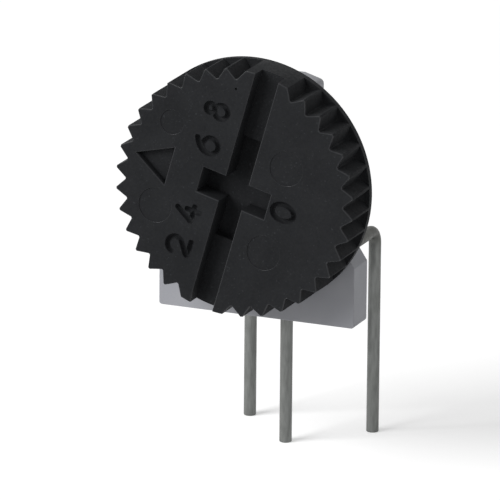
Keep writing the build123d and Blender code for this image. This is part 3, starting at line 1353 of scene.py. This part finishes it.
@dataclass
class Housing:
    """Grey moulded housing: foot, sloped shoulders, round body, top tab and snap collar."""

    places: Places
    depth: float = 1.32
    foot_width: float = 7.92
    foot_height: float = 2.35
    foot_corner: float = 0.12
    shoulder_run: float = 0.74
    shoulder_rise: float = 1.10
    body_radius: float = 3.75
    tab_width: float = 4.26
    tab_flat_width: float = 2.76
    tab_top: float = 3.95
    tab_drop: float = 0.22
    tab_corner: float = 0.20
    front_wall: float = 0.55
    chamber_radius: float = 3.10
    collar_radius: float = 3.45
    bead_radius: float = 3.60
    bead_length: float = 0.30
    collar_lead_in: float = 0.08
    collar_length: float = 0.98
    stop_inner: float = 2.65
    stop_middle: float = 270.0
    stop_half_angle: float = 20.0
    stop_length: float = 0.75
    pocket_radius: float = 3.39
    pocket_foot_half: float = 3.19
    pocket_low: float = 1.11
    pocket_high: float = 2.89
    edge: float = 0.045
    facets: int = 192

    def outline(self) -> list[Point]:
        """Outline seen from the front, centred on the axis across and on the board in height.

        Returns:
            Its points, anticlockwise.
        """
        half, height = self.foot_width / 2, self.places.axis_height
        shoulder = self.foot_height + self.shoulder_rise
        meet = math.degrees(math.asin((shoulder - height) / self.body_radius))
        tab_low = math.degrees(math.acos(self.tab_width / 2 / self.body_radius))
        right = [
            (half, 0, self.foot_corner),
            (half, self.foot_height, self.foot_corner),
            (half - self.shoulder_run, shoulder, 0),
            *sharp(arc((0, height), self.body_radius, meet, tab_low, steps=48)),
            (self.tab_width / 2, height + self.tab_top - self.tab_drop, self.tab_corner),
            (self.tab_flat_width / 2, height + self.tab_top, 0),
        ]
        left = [(-x, y, radius) for x, y, radius in reversed(right)]
        return eased(right + left)

    def pocket(self) -> list[Point]:
        """Outline of the rear pocket: a disc with a straight foot, in the same frame.

        Returns:
            Its points, anticlockwise.
        """
        half, height = self.pocket_foot_half, self.places.axis_height
        rise = math.degrees(math.asin((self.pocket_high - height) / self.pocket_radius))
        disc = arc((0, height), self.pocket_radius, rise, 180 - rise, steps=120)
        foot = [
            (-half, self.pocket_high, 0),
            (-half, self.pocket_low, self.foot_corner),
            (half, self.pocket_low, self.foot_corner),
            (half, self.pocket_high, 0),
        ]
        return eased(sharp(disc) + foot)

    def collar(self) -> Solid:
        """Collar with its snap bead, turned about the axis with its root inside the front wall.

        Returns:
            The solid.
        """
        root = -self.front_wall / 2
        bead_front = self.collar_length - self.collar_lead_in
        bead_rear = self.collar_length - self.bead_length
        profile = [
            (self.chamber_radius, root),
            (self.chamber_radius, self.collar_length),
            (self.bead_radius - self.collar_lead_in, self.collar_length),
            (self.bead_radius, bead_front),
            (self.bead_radius, bead_rear),
            (self.collar_radius, bead_rear),
            (self.collar_radius, root),
        ]
        return spun(profile, self.facets, ring=True)

    def stop(self) -> Solid:
        """Stop inside the collar, which the wheel's lug meets at both ends of the travel.

        Returns:
            The solid.
        """
        outer = (self.chamber_radius + self.collar_radius) / 2
        low, high = self.stop_middle - self.stop_half_angle, self.stop_middle + self.stop_half_angle
        outline = arc((0, 0), outer, low, high, 12) + arc((0, 0), self.stop_inner, high, low, 12)
        return prism(outline, -self.front_wall, self.stop_length)

    def build(self, finishes: Finishes) -> None:
        """Makes the housing and puts it in its node's place.

        Args:
            finishes: The part's finishes.
        """
        board = Matrix.Translation((0, -self.places.axis_height, 0))
        through = 2 * self.depth
        shell = prism(self.outline(), -self.depth, 0)
        bmesh.ops.transform(shell, matrix=board, verts=shell.verts)
        housing = as_object("housing_moulding", [shell])
        bore = [(self.chamber_radius, self.depth), (self.chamber_radius, -through)]
        work(housing, as_object("chamber", [spun(bore, self.facets)]), Work.CUT)
        pocket = prism(self.pocket(), -through, -self.front_wall)
        bmesh.ops.transform(pocket, matrix=board, verts=pocket.verts)
        work(housing, as_object("pocket", [pocket]), Work.CUT)
        work(housing, as_object("collar", [self.collar()]), Work.ADD)
        work(housing, as_object("stop", [self.stop()]), Work.ADD)
        ease_edges(housing, self.edge)
        placement = seen_from_front(self.places.housing_front, self.places.axis_height)
        finish_piece(housing, placement, finishes.by_slot["housing_plastic"])
        hand_over(housing, Body.BASE, "housing_plastic", "housing")


# Rear seal


@dataclass
class RearSeal:
    """Cast epoxy that fills the pocket behind the ceramic and creeps up its walls and the leads."""

    places: Places
    housing: Housing
    lead_height: float = 2.25
    lead_xs: tuple[float, ...] = (-2.54, 0.0, 2.54)
    lead_radius: float = 0.24
    wall_reach: float = 0.16
    wall_rise: float = 0.025
    lead_reach: float = 0.096
    lead_rise: float = 0.17
    dish_reach: float = 0.64
    dish: float = 0.03
    ripple: float = 0.006
    ripple_layer: float = 3.7
    grid: float = 0.07
    overshoot: float = 1.0

    def height(self, x: float, y: float) -> float:
        """How far the surface stands behind the seal's rear, at a place seen from the rear.

        Args:
            x: Across.
            y: Up from the board.

        Returns:
            The height, below zero where the surface dishes.
        """
        pocket = self.housing
        to_disc = pocket.pocket_radius - math.hypot(x, y - self.places.axis_height)
        to_side = pocket.pocket_foot_half - abs(x)
        to_foot = min(to_side, y - pocket.pocket_low, pocket.pocket_high - y)
        to_wall = max(to_disc, to_foot, 0.0)
        level = -self.dish * (1 - math.exp(-to_wall / self.dish_reach))
        level += self.wall_rise * math.exp(-to_wall / self.wall_reach)
        for lead_x in self.lead_xs:
            gap = max(math.hypot(x - lead_x, y - self.lead_height) - self.lead_radius, 0.0)
            level += self.lead_rise * math.exp(-gap / self.lead_reach)
        return level + self.ripple * noise.noise(Vector((x, y, self.ripple_layer)))

    def block(self, depth: float) -> Solid:
        """Block under the cast surface, wider than the pocket.

        Args:
            depth: Depth of the seal.

        Returns:
            The solid, with its rear at local z 0.
        """
        reach = self.housing.pocket_radius + self.grid
        low, high = self.housing.pocket_low - self.grid, self.places.axis_height + reach
        across = round(2 * reach / self.grid)
        up = round((high - low) / self.grid)
        xs = [-reach + 2 * reach * i / across for i in range(across + 1)]
        ys = [low + (high - low) * j / up for j in range(up + 1)]
        solid = bmesh.new()
        rows = [[solid.verts.new((x, y, self.height(x, y))) for x in xs] for y in ys]
        for j in range(up):
            for i in range(across):
                solid.faces.new((rows[j][i], rows[j][i + 1], rows[j + 1][i + 1], rows[j + 1][i]))
        rim = (
            rows[0][:-1]
            + [row[-1] for row in rows[:-1]]
            + list(reversed(rows[-1][1:]))
            + [row[0] for row in reversed(rows[1:])]
        )
        floor = [solid.verts.new((v.co.x, v.co.y, -2 * depth)) for v in rim]
        for i, vertex in enumerate(rim):
            j = (i + 1) % len(rim)
            solid.faces.new((vertex, floor[i], floor[j], rim[j]))
        solid.faces.new(list(reversed(floor)))
        bmesh.ops.recalc_face_normals(solid, faces=solid.faces)
        return solid

    def build(self, finishes: Finishes) -> None:
        """Makes the seal and puts it in its node's place.

        Args:
            finishes: The part's finishes.
        """
        rear = self.places.seal_rear
        depth = rear - self.places.seal_front
        seal = as_object("epoxy_seal", [self.block(depth)])
        fill = prism(self.housing.pocket(), -depth, self.overshoot)
        work(seal, as_object("fill", [fill]), Work.KEEP)
        placement = Matrix(((1, 0, 0, 0), (0, 0, 1, rear), (0, 1, 0, 0), (0, 0, 0, 1)))
        finish_piece(seal, placement, finishes.by_slot["epoxy_seal"])
        flip_if_inside_out(seal)
        hand_over(seal, Body.BASE, "epoxy_seal", "rear_seal")


# Leads


@dataclass
class Leads:
    """Three round tinned wires with one bend each."""

    places: Places
    nodes: tuple[str, ...] = ("lead_ccw", "lead_wiper", "lead_cw")
    wire_radius: float = 0.24
    bend_radius: float = 0.55
    bend_steps: int = 14
    ring_spacing: float = 0.12
    sides: int = 28
    waviness: float = 0.008
    wave_scale: float = 1.1
    wave_detail: float = 2.0
    edge: float = 0.03
    edge_degrees: float = 50.0

    def tree(self) -> Tree:
        """Node tree that sweeps a wire along a path, with a rounded bend and uneven thickness.

        Returns:
            The tree.
        """
        kinds = {
            "Path": "Geometry",
            "Wire Radius": "Float",
            "Bend Radius": "Float",
            "Ring Spacing": "Float",
            "Waviness": "Float",
            "Seed": "Float",
            "Sides": "Int",
            "Bend Steps": "Int",
            "Finish": "Material",
        }
        tree, given = geometry_tree("drawn_wire", kinds, "Wire")
        line = add_node(tree, "GeometryNodeMeshToCurve", {"Mesh": given["Path"]})
        settings = {
            "mode": "POLY",
            "Curve": line.outputs[0],
            "Radius": given["Bend Radius"],
            "Count": given["Bend Steps"],
        }
        bent = add_node(tree, "GeometryNodeFilletCurve", settings)
        settings = {"mode": "LENGTH", "Curve": bent.outputs[0], "Length": given["Ring Spacing"]}
        rings = add_node(tree, "GeometryNodeResampleCurve", settings)
        place = add_node(tree, "GeometryNodeInputPosition")
        settings = {
            "noise_dimensions": "4D",
            "Vector": place.outputs[0],
            "W": given["Seed"],
            "Scale": self.wave_scale,
            "Detail": self.wave_detail,
        }
        wave = add_node(tree, "ShaderNodeTexNoise", settings).outputs[0]
        settings = {"operation": "MULTIPLY", "Value": wave, "Value_001": given["Waviness"]}
        loss = add_node(tree, "ShaderNodeMath", settings).outputs[0]
        settings = {"operation": "SUBTRACT", "Value": 1.0, "Value_001": loss}
        share = add_node(tree, "ShaderNodeMath", settings).outputs[0]
        settings = {"Curve": rings.outputs[0], "Radius": share}
        uneven = add_node(tree, "GeometryNodeSetCurveRadius", settings)
        settings = {"Resolution": given["Sides"], "Radius": given["Wire Radius"]}
        section = add_node(tree, "GeometryNodeCurvePrimitiveCircle", settings)
        settings = {
            "Curve": uneven.outputs[0],
            "Profile Curve": section.outputs[0],
            "Scale": share,
            "Fill Caps": True,
        }
        swept = add_node(tree, "GeometryNodeCurveToMesh", settings)
        end_tree(tree, swept.outputs[0], given["Finish"], "Wire")
        return tree

    def path(self, node: str) -> Solid:
        """Centre line of a lead, which fills its node's box.

        Args:
            node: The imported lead.

        Returns:
            The line, as two edges.
        """
        low, high = box_mm(node)
        x, rear, height = (low.x + high.x) / 2, high.y - self.wire_radius, high.z - self.wire_radius
        path = bmesh.new()
        corners = ((x, low.y, height), (x, rear, height), (x, rear, low.z))
        placed = [path.verts.new(corner) for corner in corners]
        for pair in zip(placed, placed[1:]):
            path.edges.new(pair)
        return path

    def build(self, finishes: Finishes) -> None:
        """Makes the leads and puts each in its node's place.

        Args:
            finishes: The part's finishes.
        """
        material = finishes.by_slot["tinned_wire"]
        tree = self.tree()
        for seed, node in enumerate(self.nodes):
            lead = as_object(f"tinned_{node}", [self.path(node)])
            settings = {
                "Wire Radius": self.wire_radius,
                "Bend Radius": self.bend_radius,
                "Ring Spacing": self.ring_spacing,
                "Waviness": self.waviness,
                "Seed": float(seed),
                "Sides": self.sides,
                "Bend Steps": self.bend_steps,
                "Finish": material,
            }
            run_tree(lead, tree, settings)
            ease_edges(lead, self.edge, self.edge_degrees)
            finish_piece(lead, Matrix.Identity(4), material)
            flip_if_inside_out(lead)
            hand_over(lead, Body.BASE, "tinned_wire", node)


# Studio


def seen_directly(tree: Tree) -> Socket:
    """Is 1 for what the camera sees, straight or in gloss and glass, and 0 for soft light.

    Args:
        tree: Tree of the floor or the world.

    Returns:
        The value's socket.
    """
    path = add_node(tree, "ShaderNodeLightPath").outputs
    seen = path["Is Camera Ray"]
    for ray in ("Is Glossy Ray", "Is Transmission Ray"):
        settings = {"operation": "MAXIMUM", "Value": seen, "Value_001": path[ray]}
        seen = add_node(tree, "ShaderNodeMath", settings).outputs[0]
    return seen


@dataclass
class Studio:
    """Plain pale floor, soft light from the upper left and the photograph's camera."""

    places: Places
    azimuth: float = 22.674
    elevation: float = 16.46
    roll: float = 0.527
    pixels_per_mm: float = 26.666
    target: Triple = (0.0, 0.34, 3.0)
    shift: Point = (0.628, 0.638)
    distance: float = 300.0
    sensor: float = 36.0
    clip: Point = (0.01, 10.0)
    floor_radius: float = 400.0
    floor_depth: float = 1.0
    floor_colour: str = "#f4f4f4"
    floor_glow: float = 0.40
    world_level: float = 0.30
    key_watts: float = 4.2
    key_place: Triple = (-360.0, -440.0, 340.0)
    key_size: float = 400.0

    def floor(self) -> None:
        """Lays the floor under the lead tips, wide enough that its edge never shows."""
        disc = arc((0, 0), self.floor_radius, 0, 355, 71)
        plate = as_object("floor", [prism(disc, -self.floor_depth, 0.0)])
        # Matt pale card: even, and light enough to vanish into the white behind it.
        paint = bpy.data.materials.new("pale_floor")
        tree = emptied(paint)
        lit = add_node(tree, "ShaderNodeBsdfDiffuse", {"Color": linear(self.floor_colour)})
        settings = {"operation": "MULTIPLY", "Value": seen_directly(tree)}
        level = add_node(tree, "ShaderNodeMath", settings | {"Value_001": self.floor_glow})
        glow = add_node(tree, "ShaderNodeEmission", {"Strength": level.outputs[0]})
        settings = {"Shader": lit.outputs[0], "Shader_001": glow.outputs[0]}
        both = add_node(tree, "ShaderNodeAddShader", settings)
        add_node(tree, "ShaderNodeOutputMaterial", {"Surface": both.outputs[0]})
        plate.data.transform(TO_METRES @ Matrix.Translation((0, 0, self.places.lead_tip)))
        plate.data.materials.append(paint)

    def world(self) -> None:
        """White behind everything that the camera, gloss and glass see, and a plain light."""
        world = bpy.data.worlds.new("studio")
        bpy.context.scene.world = world
        tree = emptied(world)
        settings = {"Value": seen_directly(tree), "To Min": self.world_level, "To Max": 1.0}
        level = add_node(tree, "ShaderNodeMapRange", settings).outputs["Result"]
        settings = {"Color": (1.0, 1.0, 1.0, 1.0), "Strength": level}
        light = add_node(tree, "ShaderNodeBackground", settings)
        add_node(tree, "ShaderNodeOutputWorld", {"Surface": light.outputs[0]})

    def key_lamp(self) -> None:
        """Hangs a square soft light that faces the part."""
        data = bpy.data.lights.new("key", "AREA")
        data.energy = self.key_watts
        data.size = self.key_size / MM_PER_METRE
        lamp = linked("key", data)
        place = Vector(self.key_place)
        lamp.rotation_mode = "QUATERNION"
        lamp.rotation_quaternion = (Vector(self.target) - place).to_track_quat("-Z", "Y")
        lamp.location = place / MM_PER_METRE

    def camera(self) -> None:
        """Places the camera as it stood for the photograph."""
        a, e, r = (math.radians(v) for v in (self.azimuth, self.elevation, self.roll))
        look = Vector((-math.sin(a) * math.cos(e), math.cos(a) * math.cos(e), -math.sin(e)))
        right = Vector((math.cos(a), math.sin(a), 0))
        up = right.cross(look)
        rolled_right = math.cos(r) * right + math.sin(r) * up
        rolled_up = -math.sin(r) * right + math.cos(r) * up
        place = Vector(self.target) - look * self.distance
        place -= rolled_right * self.shift[0] + rolled_up * self.shift[1]
        data = bpy.data.cameras.new("photo_camera")
        data.sensor_width = self.sensor
        data.lens = self.sensor * self.distance * self.pixels_per_mm / IMAGE_PIXELS
        data.clip_start, data.clip_end = self.clip
        camera = linked("photo_camera", data)
        turned = Matrix((rolled_right, rolled_up, -look)).transposed().to_4x4()
        camera.matrix_world = Matrix.Translation(place / MM_PER_METRE) @ turned
        bpy.context.scene.camera = camera

    def build(self) -> None:
        """Sets the whole stage."""
        self.floor()
        self.world()
        self.key_lamp()
        self.camera()
        bpy.context.scene.view_settings.view_transform = "Standard"


def main() -> None:
    """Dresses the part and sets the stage."""
    logging.basicConfig(level=logging.INFO, format="%(message)s")
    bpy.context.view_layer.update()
    places = Places.from_frame()
    finishes = Finishes()
    housing = Housing(places)
    Thumbwheel(places).build(finishes)
    housing.build(finishes)
    RearSeal(places, housing).build(finishes)
    Leads(places).build(finishes)
    finishes.dress_nodes()
    Studio(places).build()


if __name__ == "__main__":
    main()
